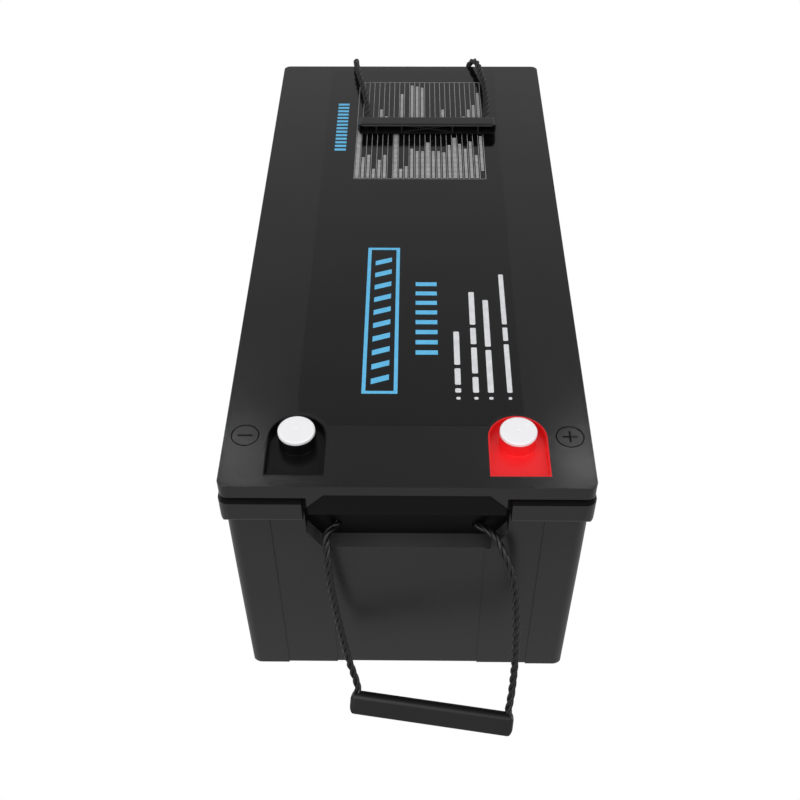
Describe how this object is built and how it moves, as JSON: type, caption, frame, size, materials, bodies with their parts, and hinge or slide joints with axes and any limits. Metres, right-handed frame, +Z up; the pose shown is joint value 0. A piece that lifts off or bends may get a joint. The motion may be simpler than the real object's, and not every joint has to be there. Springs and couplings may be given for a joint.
{
  "type": "deep cycle battery",
  "caption": "Long black sealed battery case with a lipped lid, rope carrying handles at both ends and capped screw terminals in red and black pockets.",
  "frame": {"origin": "middle of the flat underside of the case", "axes": "+Y along the case, away from the terminals; +Z up; +X towards the positive terminal"},
  "size_m": [0.24, 0.5795, 0.2298],
  "materials": {
    "case_plastic": "semi-gloss moulded black plastic",
    "seal_rubber": "soft black rubber",
    "label_film": "printed black film",
    "black_insert": "gloss black plastic",
    "red_insert": "gloss red plastic",
    "terminal_brass": "turned brass",
    "plated_steel": "zinc plated",
    "cap_plastic": "smooth white plastic",
    "grip_plastic": "semi-gloss moulded black plastic",
    "rope": "twisted black cord",
    "cell_wrap": "blue shrink film",
    "spacer_sheet": "white insulating sheet",
    "end_plate_metal": "plain aluminium",
    "foam": "dark closed-cell foam",
    "copper": "plain copper",
    "tray_plastic": "dark moulded plastic",
    "board": "green circuit board",
    "chip_plastic": "black moulded chips",
    "red_cable": "red cable jacket",
    "black_cable": "black cable jacket",
    "harness_wire": "yellow wire bundle"
  },
  "bodies": {
    "housing": {"case": "case_plastic", "lid": "case_plastic", "lid_seal": "seal_rubber", "label_sheet": "label_film", "negative_insert": "black_insert", "positive_insert": "red_insert", "negative_post": "terminal_brass", "positive_post": "terminal_brass", "terminal_nuts": "plated_steel", "front_rope_anchors": "rope", "front_case_knots": "rope", "back_rope_anchors": "rope", "back_case_knots": "rope", "cell_1": "cell_wrap", "cell_2": "cell_wrap", "cell_3": "cell_wrap", "cell_4": "cell_wrap", "cell_spacers": "spacer_sheet", "end_plates": "end_plate_metal", "compression_bands": "plated_steel", "base_pad": "foam", "filler_foam": "foam", "series_busbars": "copper", "busbar_nuts": "plated_steel", "bms_tray": "tray_plastic", "bms_heatsink": "end_plate_metal", "bms_board": "board", "bms_mosfets": "chip_plastic", "bms_screws": "plated_steel", "positive_cable": "red_cable", "negative_cable": "black_cable", "pack_cable": "black_cable", "cable_lugs": "copper", "balance_harness": "harness_wire", "temperature_probe": "black_cable"},
    "front_handle": {"front_grip": "grip_plastic", "front_grip_knots": "rope", "front_rope_left": "rope", "front_rope_right": "rope"},
    "back_handle": {"back_grip": "grip_plastic", "back_grip_knots": "rope", "back_rope_left": "rope", "back_rope_right": "rope"},
    "negative_cap_body": {"negative_cap": "cap_plastic"},
    "positive_cap_body": {"positive_cap": "cap_plastic"}
  },
  "joints": [
    {"name": "front_handle_swing", "type": "hinge", "parent": "housing", "child": "front_handle", "pos_m": [0, -0.256, 0.155], "axis": [-1, 0, 0], "range_deg": [0, 125]},
    {"name": "back_handle_swing", "type": "hinge", "parent": "housing", "child": "back_handle", "pos_m": [0, 0.256, 0.161], "axis": [-1, 0, 0], "range_deg": [0, 125]},
    {"name": "negative_cap_lift", "type": "slide", "parent": "housing", "child": "negative_cap_body", "axis": [0, 0, 1], "range_m": [0, 0.06]},
    {"name": "positive_cap_lift", "type": "slide", "parent": "housing", "child": "positive_cap_body", "axis": [0, 0, 1], "range_m": [0, 0.06]}
  ]
}
